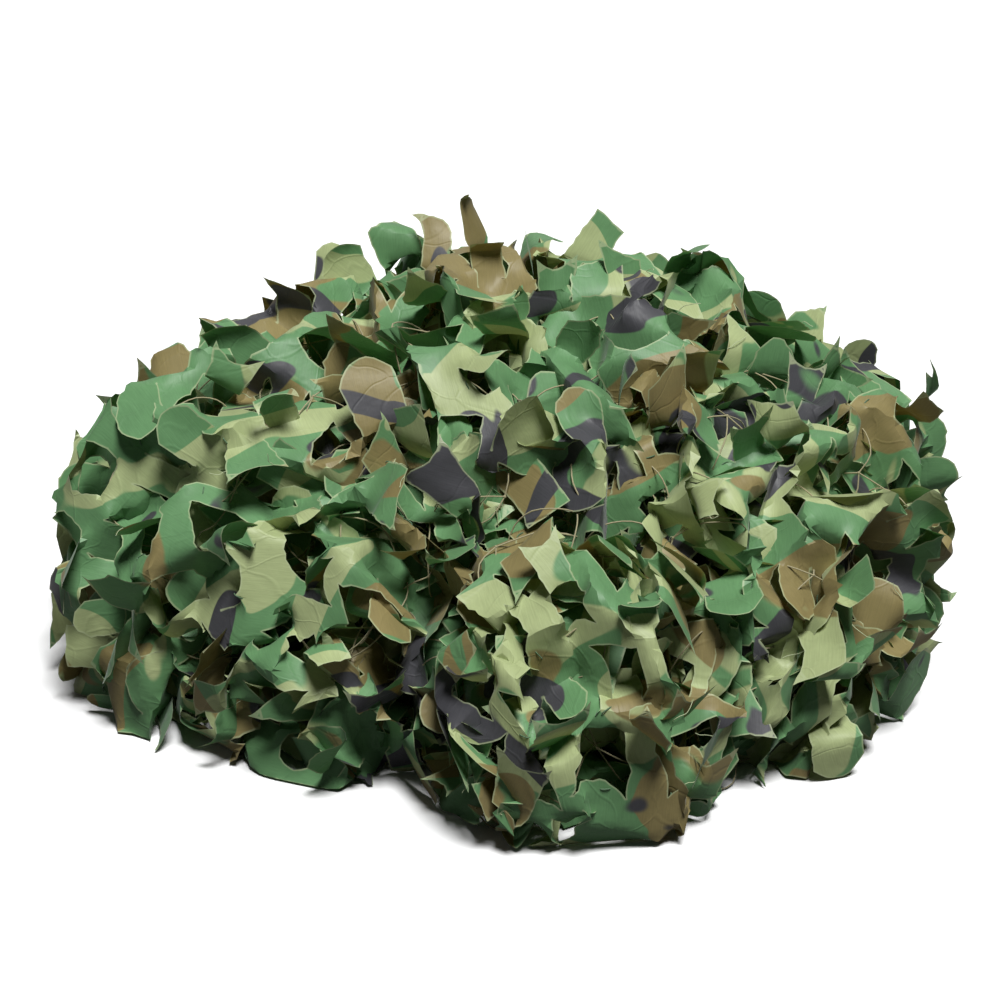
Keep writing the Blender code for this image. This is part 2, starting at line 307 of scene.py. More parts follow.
def parted(points, faces, edges):
    """The parted mesh: its points, triangles, pairs of neighbours, and which points are on a cut."""
    cloth = bmesh.new()
    vertices = [cloth.verts.new((x, y, 0.0)) for x, y in points]
    for face in faces:
        cloth.faces.new([vertices[i] for i in face])
    slit_edges = [cloth.edges.get((vertices[a], vertices[b])) for a, b in edges]
    bmesh.ops.split_edges(cloth, edges=[edge for edge in slit_edges if edge is not None])
    corners = [face for face in cloth.faces if all(vert.is_boundary for vert in face.verts)]
    bmesh.ops.poke(cloth, faces=corners)
    cloth.verts.ensure_lookup_table()
    cloth.verts.index_update()
    flat = np.array([v.co[:2] for v in cloth.verts])
    triangles = np.array([[v.index for v in f.verts] for f in cloth.faces])
    pairs = np.array([[v.index for v in e.verts] for e in cloth.edges])
    on_cut = np.array([v.is_boundary for v in cloth.verts])
    cloth.free()
    turned = np.cross(flat[triangles[:, 1]] - flat[triangles[:, 0]],
                      flat[triangles[:, 2]] - flat[triangles[:, 0]]) < 0
    triangles[turned] = triangles[turned][:, ::-1]
    return flat, triangles, pairs, on_cut


def inside(shape, points):
    """Which points are inside a closed outline."""
    x, y = points[:, 0, None], points[:, 1, None]
    x1, y1 = shape[:, 0], shape[:, 1]
    x2, y2 = np.roll(x1, -1), np.roll(y1, -1)
    crosses = ((y1 > y) != (y2 > y)) & (x < (x2 - x1) * (y - y1) / (y2 - y1 + 1e-12) + x1)
    return crosses.sum(1) % 2 == 1


def distance_to_cut(flat, triangles, on_cut):
    """How far each point is from the nearest cut edge, in metres, at most 5 mm."""
    away = np.where(on_cut, 0.0, 0.005)
    for k in range(3):
        top, a, b = np.roll(triangles, k, axis=1).T
        along, out = flat[b] - flat[a], flat[top] - flat[a]
        height = np.abs(np.cross(along, out)) / (np.linalg.norm(along, axis=1) + 1e-9)
        beside = on_cut[a] & on_cut[b] & ~on_cut[top]
        np.minimum.at(away, top[beside], height[beside])
    return away


def cut_cloth(width, length, grain, seed):
    """A cut sheet with its leaves: each point's leaf, and its depth past that leaf's hinge."""
    random = np.random.default_rng(seed)
    slits = cut_plan(width, length, grain, random)
    flat, triangles, pairs, on_cut = parted(*grown_mesh(width, length, slits, grain))
    centres = flat[triangles].mean(1)
    leaf = np.full(len(flat), -1)
    depth = np.zeros(len(flat))
    hinge_way = np.zeros((len(slits), 2))
    for number, slit in enumerate(slits):
        low, high = slit.min(0), slit.max(0)
        near = np.flatnonzero(((centres > low) & (centres < high)).all(1))
        mine = np.unique(triangles[near[inside(slit, centres[near])]])
        across = slit[-1] - slit[0]
        out = np.array((across[1], -across[0])) / np.linalg.norm(across)
        out *= np.sign((slit[len(slit) // 2] - slit[0]) @ out)
        leaf[mine] = number
        depth[mine] = np.maximum((flat[mine] - slit[0]) @ out, 0)
        hinge_way[number] = out
    return {"size": (width, length), "flat": flat, "triangles": triangles, "pairs": pairs,
            "on_cut": on_cut, "to_cut": distance_to_cut(flat, triangles, on_cut),
            "leaf": leaf, "depth": depth, "hinge_way": hinge_way}


trial = cut_cloth(0.5, 0.5, GRAIN, 3)
print(f"a trial square of 0.5 m: {len(trial['flat'])} points, {len(trial['triangles'])} "
      f"triangles, {len(trial['hinge_way'])} leaves")

# %% [markdown]
# ## Laying the cloth over the heap
#
# The flat sheet is turned, wrapped over the heap from its top down to the hem, and gathered: two
# points of the cloth that are 60 mm apart end up about 40 mm apart. Broad folds lift and sink it,
# and each leaf is opened about its hinge by its own angle and curl. A few leaves, on the crown and
# round the sides, stand straight up, because they give the heap its bristling outline. This first
# lay has the wrong lengths everywhere, on purpose, and the settling that follows puts them right.

# %% Smooth unevenness and the first lay
def ripples(points, length, seed):
    """Smooth noise with about that wavelength, from a few crossing waves, between -1 and 1."""
    random = np.random.default_rng(seed)
    total = np.zeros(len(points))
    for _ in range(9):
        way = random.normal(0, 1, points.shape[1])
        way *= random.uniform(0.7, 1.3) * 2 * math.pi / length / np.linalg.norm(way)
        total += np.sin(points @ way + random.uniform(0, 2 * math.pi))
    return total / 4.5


SMOOTHER_BEARING = math.radians(-72)
SMOOTHER = 0.12


def over_heap(flat, half_size, turn, lift):
    """A flat point of the sheet on the heap: square to disc, disc to dome, then lifted.

    The cloth is gathered less on one side of the heap, the one that SMOOTHER_BEARING names."""
    u, v = (flat / half_size).T
    sideways = np.abs(u) >= np.abs(v)
    safe_u = np.where(np.abs(u) < 1e-9, 1e-9, u)
    safe_v = np.where(np.abs(v) < 1e-9, 1e-9, v)
    bearing = np.where(sideways, math.pi / 4 * v / safe_u, math.pi / 2 - math.pi / 4 * u / safe_v)
    share = np.where(sideways, u, v)
    polar = share * HEM_ANGLE
    bearing = bearing + np.where(polar < 0, math.pi, 0) + turn
    bearing = bearing + SMOOTHER * np.sin(bearing - SMOOTHER_BEARING)
    polar = np.abs(polar)
    way = direction(polar, bearing)
    return HEART + way * (reach(polar, bearing) + lift)[:, None]


LEAF_POSES = (
    # pose           share  opening  spread, in degrees about the hinge
    ("flat",         0.08,    6,     10),
    ("standing",     0.22,   50,     18),
    ("folded_back",  0.32,  128,     22),
    ("fallen_in",    0.38,  -70,     26),
)


TALL_TIPS = (
    # bearing and polar angle, in degrees, of leaves that stand up past the others
    (103, 22), (128, 32), (149, 43), (153, 57), (166, 67), (171, 85), (175, 94),
    (62, 31), (41, 40), (27, 56), (17, 65), (10, 79), (-100, 92), (-30, 84),
)
TALL_OPENING, TALL_CURL = math.radians(88), 2.0
LEAF_CURL = 20
BROAD_FOLDS = ((0.011, 0.13), (0.006, 0.055))
SWAY, SWAY_LENGTH = 0.012, 0.16


def tall_leaves(cloth, turn):
    """The leaf nearest to each of the places where one stands up past the others."""
    number = np.bincount(cloth["leaf"] + 1)[1:, None]
    middles = added_up(cloth["leaf"] + 1, cloth["flat"], len(number) + 1)[1:]
    middles = middles / np.maximum(number, 1)
    places = over_heap(middles, np.array(cloth["size"]) / 2, turn, np.zeros(len(middles))) - HEART
    bearing, polar = np.radians(TALL_TIPS).T
    return (unit(places) @ direction(polar, bearing).T).argmax(0)


def first_lay(cloth, turn, sunk, seed, tall):
    """Where each point of a cut sheet starts: wrapped over the heap, with its leaves opened."""
    random = np.random.default_rng(seed)
    flat, leaf, depth = cloth["flat"], cloth["leaf"], cloth["depth"]
    leaves = len(cloth["hinge_way"])
    shares = np.cumsum([share for _, share, _, _ in LEAF_POSES])
    pose = np.searchsorted(shares, random.uniform(0, shares[-1], leaves))
    middle = np.array([opening for _, _, opening, _ in LEAF_POSES])[pose]
    spread = np.array([spread for _, _, _, spread in LEAF_POSES])[pose]
    opening = np.radians(random.normal(middle, spread))
    curl = random.normal(0, LEAF_CURL, leaves) + 1e-3
    opening[tall], curl[tall] = TALL_OPENING, TALL_CURL
    opening, curl = opening[leaf], curl[leaf]
    on_leaf = leaf >= 0
    rise = np.where(on_leaf, (np.cos(opening) - np.cos(opening + curl * depth)) / curl, 0)
    along = np.where(on_leaf, (np.sin(opening + curl * depth) - np.sin(opening)) / curl, 0)
    moved = flat + cloth["hinge_way"][leaf] * np.where(on_leaf, along - depth, 0)[:, None]
    moved = moved + SWAY * np.stack([ripples(flat, SWAY_LENGTH, seed + k) for k in (1, 2)], -1)
    folds = sum(height * ripples(flat, wave, seed + 3 + k)
                for k, (height, wave) in enumerate(BROAD_FOLDS))
    half_size = np.array(cloth["size"]) / 2
    moved = np.clip(moved, -half_size, half_size)
    return over_heap(moved, half_size, turn, folds - sunk + rise)


print("waves at one point:", ripples(np.zeros((1, 2)), 0.1, 1).round(3))

# %% [markdown]
# ## Settling
#
# Blender's Cloth is the usual way to do this. It wasn't tried here: it was expected to be slow for
# sheets with over a thousand leaves in contact, and the flat facets below need a rule of their
# own. So the same idea is written out with numpy. Cloth is pairs of points that keep their distance.
# Neighbours hold the weave's length. Pairs two and four steps apart resist being brought closer,
# which is bending stiffness. Points of different layers push each other off, so that layers lie
# on each other. The heap's folds hold the cloth up from inside, stitches pull it to the net, and
# weight pulls it down. Each rule moves points a little, over and over, until little changes.
#
# Polyester that has been packed tightly stays flat between its creases. So the cloth is
# also divided into facets, and each is drawn towards its own flat, unstretched shape: gently at
# first, and strongly in the last passes, when the cloth springs back against the heap's hold.
#
# Pairs that share a point can't be moved at once, so the pairs are sorted into classes in which
# no point comes twice, and each class is one quick numpy step.

# %% Pairs that don't share a point
def classes(pairs, count, seed):
    """Sorts pairs into groups in which no point appears twice."""
    order = np.random.default_rng(seed).permutation(len(pairs))
    left = pairs[order]
    index = order
    groups = []
    while len(left):
        taken = np.zeros(count, bool)
        chosen = np.zeros(len(left), bool)
        for _ in range(5):
            free = np.flatnonzero(~chosen & ~taken[left[:, 0]] & ~taken[left[:, 1]])
            if not len(free):
                break
            lowest = np.full(count, len(left))
            np.minimum.at(lowest, left[free, 0], free)
            np.minimum.at(lowest, left[free, 1], free)
            wins = free[(lowest[left[free, 0]] == free) & (lowest[left[free, 1]] == free)]
            chosen[wins] = True
            taken[left[wins]] = True
        groups.append(index[chosen])
        left, index = left[~chosen], index[~chosen]
    return groups


def straight_on(flat, pairs, flatness=0.93):
    """Pairs one step longer: from each point through its neighbour and on in the same line."""
    count = len(flat)
    both = np.concatenate((pairs, pairs[:, ::-1]))
    both = both[np.argsort(both[:, 0], kind="stable")]
    starts = np.searchsorted(both[:, 0], np.arange(count + 1))
    most = np.diff(starts).max()
    slots = starts[:-1, None] + np.arange(most)[None]
    known = slots < starts[1:, None]
    neighbours = np.where(known, both[np.minimum(slots, len(both) - 1), 1], -1)
    way = flat[both[:, 1]] - flat[both[:, 0]]
    on = neighbours[both[:, 1]]
    next_way = flat[on] - flat[both[:, 1], None]
    sizes = np.linalg.norm(way, axis=1)[:, None] * np.linalg.norm(next_way, axis=2) + 1e-12
    match = np.where(on >= 0, (way[:, None] * next_way).sum(2) / sizes, -2)
    best = match.argmax(1)
    rows = np.arange(len(both))
    good = match[rows, best] > flatness
    longer = np.stack((both[good, 0], on[rows[good], best[good]]), -1)
    return np.unique(np.sort(longer, 1), axis=0)


def facets(flat, leaf, seed):
    """The flat facet of cloth that each point is on: larger on leaves, never across a slit."""
    random = np.random.default_rng(seed)
    low, high = flat.min(0), flat.max(0)
    facet = np.empty(len(flat), int)
    for on_leaf, size in ((False, WEB_FACET), (True, LEAF_FACET)):
        some = np.flatnonzero((leaf >= 0) == on_leaf)
        seeds = random.uniform(low, high, (int(np.prod(high - low) / size ** 2), 2))
        nearest = np.concatenate([
            ((part[:, None] - seeds[None]) ** 2).sum(2).argmin(1)
            for part in np.array_split(flat[some], len(some) // 2000 + 1)
        ])
        facet[some] = nearest * 10000 + leaf[some] + 1
    return np.unique(facet, return_inverse=True)[1].reshape(-1)


def near_pairs(points, radius):
    """Every pair of points within about radius of each other, by sorting them into cubes."""
    cubes = np.floor((points - points.min(0)) / radius).astype(np.int64) + 1
    size = cubes.max(0) + 2
    key = (cubes[:, 0] * size[1] + cubes[:, 1]) * size[2] + cubes[:, 2]
    order = np.argsort(key, kind="stable")
    key = key[order]
    found = []
    steps = [(x, y, z) for x in (-1, 0, 1) for y in (-1, 0, 1) for z in (-1, 0, 1)]
    for x, y, z in steps[13:]:
        wanted = key + (x * size[1] + y) * size[2] + z
        low = np.searchsorted(key, wanted, "left")
        high = np.searchsorted(key, wanted, "right")
        if (x, y, z) == (0, 0, 0):
            low = np.arange(len(key)) + 1
        counts = np.maximum(high - low, 0)
        first = np.repeat(np.arange(len(key)), counts)
        within = np.arange(counts.sum()) - np.repeat(np.cumsum(counts) - counts, counts)
        second = np.repeat(low, counts) + within
        found.append(np.stack((order[first], order[second]), -1))
    found = np.concatenate(found)
    gap = points[found[:, 0]] - points[found[:, 1]]
    return found[(gap ** 2).sum(1) < radius ** 2]


print(f"{len(trial['pairs'])} neighbour pairs in",
      len(classes(trial["pairs"], len(trial["flat"]), 0)), "classes")

# %% Settling the sheets together
PLY_GAP = 0.0046
PASSES, LAST_PASSES = 175, 50
WEIGHT = 0.00004
WEB_FACET, LEAF_FACET = 0.040, 0.048
FACET_STIFFNESS, LAST_STIFFNESS = 0.45, 0.85
STITCH_PULL = 0.25
HEAP_HOLD, LAST_HOLD = 0.5, 0.04
LOWEST = 0.002
HEM_START, HEM_BLEND = math.radians(74), 0.4
RAISED, LOWERED = 0.006, 0.024


def length_rules(flat, pairs, count):
    """Pairs in classes, each with the lengths it holds, its stiffness and whether it pulls too."""
    longer = straight_on(flat, pairs)
    longest = straight_on(flat, longer, 0.96)
    rules = []
    for some, stiffness, slack, pulls in ((pairs, 0.9, 1.0, True), (longer, 0.40, 0.99, False),
                                          (longest, 0.35, 0.97, False)):
        lengths = np.linalg.norm(flat[some[:, 0], :2] - flat[some[:, 1], :2], axis=1)
        for group in classes(some, count, 0):
            rules.append((some[group, 0], some[group, 1], lengths[group] * slack, stiffness, pulls))
    return rules


def hold_lengths(x, rules):
    """Draws pairs together or apart, part of the way to the length that they should have."""
    for a, b, lengths, stiffness, pulls in rules:
        gap = x[a] - x[b]
        size = np.sqrt((gap ** 2).sum(1)) + 1e-9
        off = (size - lengths) / size
        if not pulls:
            off = np.minimum(off, 0)
        shift = gap * (0.5 * stiffness * off)[:, None]
        x[a] -= shift
        x[b] += shift


def flattened(x, flat, facet, count):
    """Where the points would lie if each facet of the cloth were flat and unstretched."""
    number = np.maximum(np.bincount(facet, minlength=count), 1)[:, None]
    middle = added_up(facet, x, count) / number
    flat_middle = added_up(facet, flat, count) / number
    out, flat_out = x - middle[facet], flat - flat_middle[facet]
    spread = np.empty((count, 3, 2))
    for i in range(3):
        for j in range(2):
            spread[:, i, j] = np.bincount(facet, out[:, i] * flat_out[:, j], count)
    left, _, right = np.linalg.svd(spread, full_matrices=False)
    return middle[facet] + np.einsum("nij,nj->ni", (left @ right)[facet], flat_out)


def may_touch(x, flat, ply):
    """Pairs that are close now, but are of two layers or lie far apart in the flat cloth."""
    close = near_pairs(x, PLY_GAP * 1.6)
    apart = np.linalg.norm(flat[close[:, 0]] - flat[close[:, 1]], axis=1)
    return close[(ply[close[:, 0]] != ply[close[:, 1]]) | (apart > 2.2 * PLY_GAP)]


def push_apart(x, close):
    """Pushes touching pairs off each other, by the mean of all that a point is told."""
    gap = x[close[:, 0]] - x[close[:, 1]]
    size = np.sqrt((gap ** 2).sum(1)) + 1e-9
    touching = size < PLY_GAP
    a, b = close[touching].T
    shift = gap[touching] * (0.5 * (PLY_GAP / size[touching] - 1))[:, None]
    ends = np.concatenate((a, b))
    number = np.maximum(np.bincount(ends, minlength=len(x)), 1)
    for axis in range(3):
        both = np.concatenate((shift[:, axis], -shift[:, axis]))
        x[:, axis] += 1.2 * np.bincount(ends, both, len(x)) / number


def hold_to_heap(x, floor_of, ceiling_of, ceiling_hold):
    """Keeps points between the folds under them and the height that their layer may reach."""
    out = x - HEART
    away = np.linalg.norm(out, axis=1) + 1e-9
    polar = np.arccos(np.clip(out[:, 2] / away, -1, 1))
    surface = reach(polar, np.arctan2(out[:, 1], out[:, 0]))
    higher = np.clip((HEM_START - polar) / HEM_BLEND, -1, 1)
    top = np.where(higher > 0, RAISED * higher, LOWERED * higher)
    wanted = np.clip(away, surface + floor_of, surface + ceiling_of + top)
    hold = np.where(away > wanted, ceiling_hold, HEAP_HOLD)
    x += out * (hold * (wanted / away - 1))[:, None]
    x[:, 2] = np.maximum(x[:, 2], LOWEST)


def settle(start, flat, ply, facet, pairs, sewn, floor_of, ceiling_of):
    """Moves the points until lengths, bending, layers, stitches and the heap agree."""
    x = start.copy()
    cloth = len(facet)
    facet_count = facet.max() + 1
    rules = length_rules(flat, pairs, len(x))
    homes = start[sewn]
    close = None
    for step in range(PASSES):
        springs_back = step >= PASSES - LAST_PASSES
        if step % 8 == 0:
            close = may_touch(x, flat, ply)
        x[:, 2] -= WEIGHT
        hold_lengths(x, rules)
        stiff = LAST_STIFFNESS if springs_back else FACET_STIFFNESS
        x[:cloth] += stiff * (flattened(x[:cloth], flat[:cloth], facet, facet_count) - x[:cloth])
        push_apart(x, close)
        x[sewn] += STITCH_PULL * (homes - x[sewn])
        hold_to_heap(x, floor_of, ceiling_of, LAST_HOLD if springs_back else HEAP_HOLD)
    return x


print(f"layers rest {1000 * PLY_GAP:.1f} mm apart; {PASSES} passes")

# %% [markdown]
# ## The sheets that lie in the heap, and their net
#
# The heap holds an estimated twelve square metres of netting. What can be seen of it is its outermost
# fold, the fold under that one, and glimpses of a third. Each is cut and laid here as a sheet of
# its own, turned another way, and they are settled together so that they lie on each other. The
# net settles with them, as a lattice of cords that is a little longer than its way, so it snakes
# through the gaps between the leaves as the real one does.

# %% Sheets, stitches and net, ready to settle
PLIES = (
    # name          width  length turn  sunk   grain  seed
    ("leaf_cloth",  1.12,  1.06,  0.25, 0.001, GRAIN, 21),
    ("under_cloth", 1.06,  1.00,  1.05, 0.039, 0.0066, 34),
    ("inner_folds_cloth", 0.94, 0.88, 2.0, 0.078, 0.010, 47),
)
SHELL = 0.034
PROUD = 0.016
TIP = 0.012
TALL_TIP = 1.6 * TIP
EASE = 0.006
NET_SIZE, NET_MESH, NET_SUNK, NET_SLACK = 1.12, 0.050, 0.030, 1.03
NET_CEILING = -0.006
NET_STEPS = 4
NET_SWAYS = ((0.008, 0.09, 5), (0.003, 0.04, 6))
NET_DRIFT, NET_BORDER, NET_ROOM = 0.006, 0.02, 0.02
SEWN_SHARE = 0.3


def stitches(cloth, random):
    """The points where a sheet is sewn to the net: at a share of the slits' places, out on the uncut
    necks.
    """
    flat, leaf = cloth["flat"], cloth["leaf"]
    free = np.flatnonzero((leaf < 0) & ~cloth["on_cut"])
    half_x, half_y = np.array(cloth["size"]) / 2
    chosen = []
    for y in np.arange(-half_y + 0.01, half_y, SLIT_PITCH[1]):
        for x in np.arange(-half_x + 0.01, half_x, SLIT_PITCH[0]):
            spot = np.array((x, y)) + random.normal(0, 0.005, 2)
            gap = ((flat[free] - spot) ** 2).sum(1)
            if gap.min() < 0.014 ** 2 and random.uniform() < SEWN_SHARE:
                chosen.append(free[gap.argmin()])
    return np.unique(chosen)


def net_lattice():
    """The net's points, in its flat square, and the pairs that its cords join."""
    cells = round(NET_SIZE / NET_MESH)
    count = cells * NET_STEPS + 1
    line = np.linspace(-NET_SIZE / 2, NET_SIZE / 2, count)
    column, row = np.meshgrid(np.arange(count), np.arange(count))
    on_cord = (column % NET_STEPS == 0) | (row % NET_STEPS == 0)
    number = np.full((count, count), -1)
    number[on_cord] = np.arange(on_cord.sum())
    flat = np.stack((line[column[on_cord]], line[row[on_cord]]), -1)
    across = np.stack((number[:, :-1], number[:, 1:]), -1)[row[:, :-1] % NET_STEPS == 0]
    along = np.stack((number[:-1], number[1:]), -1)[column[:-1] % NET_STEPS == 0]
    knots = number[::NET_STEPS, ::NET_STEPS].ravel()
    return flat, np.concatenate((across, along)), knots


cloths = []
for number, (name, width, length, turn, sunk, grain, seed) in enumerate(PLIES):
    cloth = cut_cloth(width, length, grain, seed)
    tall = tall_leaves(cloth, turn) if number == 0 else []
    tips = np.where(np.isin(cloth["leaf"], tall), TALL_TIP, TIP)
    cloth["start"] = first_lay(cloth, turn, sunk, seed, tall)
    cloth["sewn"] = stitches(cloth, np.random.default_rng(seed))
    cloth["facet"] = facets(cloth["flat"], cloth["leaf"], seed)
    cloth["floor"] = np.full(len(cloth["flat"]), -sunk - SHELL)
    cloth["ceiling"] = np.where(cloth["leaf"] >= 0, PROUD + tips, PROUD) - (sunk - EASE)
    cloths.append(cloth)
    print(f"{name}: {len(cloth['flat'])} points, {len(cloth['hinge_way'])} leaves, "
          f"{len(cloth['sewn'])} stitches")

net_flat, net_pairs, net_knots = net_lattice()
net_sway = sum(size * ripples(net_flat, wave, seed) for size, wave, seed in NET_SWAYS)
net_shift = NET_DRIFT * np.stack([ripples(net_flat, 0.05, seed) for seed in (7, 8)], -1)
net_layer = {
    "flat": net_flat * NET_SLACK, "pairs": net_pairs, "sewn": net_knots[::3],
    "start": over_heap(net_flat + net_shift, np.full(2, NET_SIZE / 2 + NET_BORDER), PLIES[0][3],
                       net_sway - NET_SUNK),
    "floor": np.full(len(net_flat), -NET_SUNK - NET_ROOM),
    "ceiling": np.full(len(net_flat), NET_CEILING),
}
print(f"net: {len(net_flat)} points, {len(net_pairs)} lengths of cord, {len(net_knots)} knots")

# %% The settling itself
# The flat sheets are set far beside each other, so that no two layers count as one flat cloth.
LAYER_SPACING = 10.0
begun = time.time()
layers = cloths + [net_layer]
firsts = np.cumsum([0] + [len(layer["flat"]) for layer in layers])
ply_of = np.repeat(np.arange(len(layers)), np.diff(firsts))


def together(key, offsets=None):
    """The same thing of every layer in one array, with its numbers moved on where needed."""
    offsets = np.zeros(len(layers), int) if offsets is None else offsets
    return np.concatenate([layer[key] + offset for layer, offset in zip(layers, offsets)
                           if key in layer])


facet_firsts = np.cumsum([0] + [cloth["facet"].max() + 1 for cloth in cloths])
settled = settle(together("start"), together("flat") + LAYER_SPACING * ply_of[:, None], ply_of,
                 together("facet", facet_firsts), together("pairs", firsts),
                 together("sewn", firsts), together("floor"), together("ceiling"))
for cloth, first, end in zip(cloths, firsts, firsts[1:]):
    cloth["range"] = (first, end)
print(f"settled {len(settled)} points in {time.time() - begun:.1f} s")

# %% [markdown]
# The last crumples are as fine as the mesh's own triangles, and no real crease is that small. Each
# point is moved towards its neighbours' middle, but only across the cloth's face, so that the
# leaves keep their outlines and sizes.

# %% Ironing out the finest crumples
IRONINGS = 3
IRONING = 0.6


def ironed(points, triangles, pairs):
    """Moves each point towards its neighbours' middle, but only across the cloth's face."""
    both = np.concatenate((pairs, pairs[:, ::-1]))
    number = np.bincount(both[:, 0], minlength=len(points))[:, None]
    for _ in range(IRONINGS):
        a, b, c = points[triangles].transpose(1, 0, 2)
        face = np.repeat(np.cross(b - a, c - a), 3, axis=0)
        normal = unit(added_up(triangles.ravel(), face, len(points)))
        middle = added_up(both[:, 0], points[both[:, 1]], len(points)) / number
        points = points + normal * (IRONING * ((middle - points) * normal).sum(1))[:, None]
    return points


for cloth in cloths:
    low, high = cloth["range"]
    before = settled[low:high].copy()
    settled[low:high] = ironed(before, cloth["triangles"], cloth["pairs"])
    moved = np.linalg.norm(settled[low:high] - before, axis=1)
    print(f"ironing moved the points by {1000 * moved.mean():.2f} mm on average")
settled[:, 2] = np.maximum(settled[:, 2], LOWEST)

# %% [markdown]
# ## Printed polyester
#
# The cloth is a thin plain-weave polyester, dyed and then printed with the common four-colour
# woodland pattern before it is cut, so the blobs run on across slits and leaves. Thread this fine
# gives a soft sheen and a faint grain along the warp. Light comes through it: a leaf with light
# behind it glows in a warmer, stronger colour than it shows by reflection. The pattern reads the
# flat UV map, in metres, so every scale below is a real size.

# %% The woodland print and its cloth
LEAF_GREEN = "#638e60"
PRINT_INKS = (
    # ink        blob_mm threshold place
    ("#a6b280", 100,     0.552,    8.9),
    ("#887c51", 108,     0.572,   26.5),
    ("#444448",  90,     0.650,    2.9),
)
EDGE_COLOUR = "#b4bf96"
THREAD_MM = 0.9
INK_EDGE = 0.006


def printed_polyester():
    material = bpy.data.materials.new("printed_polyester")
    material.use_nodes = True
    tree = material.node_tree
    tree.nodes.clear()
    flat_place = add_node(tree, "ShaderNodeUVMap", uv_map="flat").outputs[0]
    ink = None
    for hex_value, blob_mm, threshold, place in PRINT_INKS:
        moved = add_node(tree, "ShaderNodeMapping", {"Vector": flat_place},
                         {"Location": (place, place * 1.7, 0), "Scale": (1.0, 1.35, 1.0)})
        blob = add_node(tree, "ShaderNodeTexNoise", {"Vector": moved.outputs[0]},
                        {"Scale": 1000 / blob_mm, "Detail": 1.3, "Roughness": 0.4,
                         "Distortion": 0.8})
        edge = add_node(tree, "ShaderNodeMapRange", {"Value": blob.outputs["Fac"]},
                        {"From Min": threshold - INK_EDGE, "From Max": threshold + INK_EDGE},
                        interpolation_type="SMOOTHSTEP")
        layer = add_node(tree, "ShaderNodeMix", {"Factor": edge.outputs[0]}, data_type="RGBA")
        layer.inputs[6].default_value = colour(LEAF_GREEN)
        if ink is not None:
            tree.links.new(ink, layer.inputs[6])
        layer.inputs[7].default_value = colour(hex_value)
        ink = layer.outputs[2]
    # The dye takes unevenly along the warp: faint streaks, three times coarser than real threads.
    along_warp = add_node(tree, "ShaderNodeMapping", {"Vector": flat_place},
                          {"Scale": (1000 / THREAD_MM, 1000 / (14 * THREAD_MM), 1)})
    streaks = add_node(tree, "ShaderNodeTexNoise", {"Vector": along_warp.outputs[0]},
                       {"Scale": 1.0, "Detail": 2.0})
    patches = add_node(tree, "ShaderNodeTexNoise", {"Vector": flat_place},
                       {"Scale": 45.0, "Detail": 2.0})
    uneven = add_node(tree, "ShaderNodeMath",
                      {0: streaks.outputs["Fac"], 1: patches.outputs["Fac"]}, operation="ADD")
    shade = add_node(tree, "ShaderNodeMapRange", {"Value": uneven.outputs[0]},
                     {"From Min": 0.6, "From Max": 1.4, "To Min": 0.86, "To Max": 1.12})
    dyed = add_node(tree, "ShaderNodeVectorMath", {0: ink, "Scale": shade.outputs[0]},
                    operation="SCALE").outputs[0]
    # Along a cut the blade leaves the core of the threads bare: a pale line under 1 mm wide.
    to_cut = add_node(tree, "ShaderNodeAttribute", attribute_name="to_cut")
    bare = add_node(tree, "ShaderNodeMapRange", {"Value": to_cut.outputs["Fac"]},
                    {"From Min": 0.0004, "From Max": 0.0012, "To Min": 0.6, "To Max": 0.0},
                    interpolation_type="SMOOTHSTEP")
    edged = add_node(tree, "ShaderNodeMix", {"Factor": bare.outputs[0], 6: dyed},
                     {7: colour(EDGE_COLOUR)}, data_type="RGBA")
    dyed = edged.outputs[2]
    # Creases from packing: thin ridges between flat patches, about 30 mm apart. The pattern's own
    # borders are straight, so a noise bends them first.
    wander = add_node(tree, "ShaderNodeTexNoise", {"Vector": flat_place},
                      {"Scale": 1000 / 40, "Detail": 1.0})
    bent = add_node(tree, "ShaderNodeVectorMath", {0: wander.outputs["Color"], 2: flat_place},
                    {1: (0.05, 0.05, 0.0)}, operation="MULTIPLY_ADD")
    crumple = add_node(tree, "ShaderNodeTexVoronoi", {"Vector": bent.outputs[0]},
                       {"Scale": 1000 / 30}, feature="DISTANCE_TO_EDGE")
    ridge = add_node(tree, "ShaderNodeMapRange", {"Value": crumple.outputs["Distance"]},
                     {"From Min": 0.0, "From Max": 0.05, "To Min": 1.0, "To Max": 0.0},
                     interpolation_type="SMOOTHSTEP")
    soft = add_node(tree, "ShaderNodeTexNoise", {"Vector": flat_place},
                    {"Scale": 1000 / 16, "Detail": 3.0, "Roughness": 0.55})
    height = add_node(tree, "ShaderNodeMath", {0: ridge.outputs[0], 2: soft.outputs["Fac"]},
                      {1: 0.3}, operation="MULTIPLY_ADD")
    creased = add_node(tree, "ShaderNodeBump", {"Height": height.outputs[0]},
                       {"Strength": 0.5, "Distance": 0.0009})
    woven = add_node(tree, "ShaderNodeBump",
                     {"Height": streaks.outputs["Fac"], "Normal": creased.outputs[0]},
                     {"Strength": 0.25, "Distance": 0.0003})
    cloth = add_node(tree, "ShaderNodeBsdfPrincipled",
                     {"Base Color": dyed, "Normal": woven.outputs[0]},
                     {"Roughness": 0.5, "IOR": 1.5, "Sheen Weight": 0.12, "Sheen Roughness": 0.35,
                      "Specular IOR Level": 0.4})
    warm = add_node(tree, "ShaderNodeHueSaturation", {"Color": dyed},
                    {"Hue": 0.485, "Saturation": 1.45, "Value": 1.1})
    through = add_node(tree, "ShaderNodeBsdfTranslucent", {"Color": warm.outputs[0]})
    both = add_node(tree, "ShaderNodeMixShader", {1: cloth.outputs[0], 2: through.outputs[0]},
                    {0: 0.12})
    add_node(tree, "ShaderNodeOutputMaterial", {"Surface": both.outputs[0]})
    return material


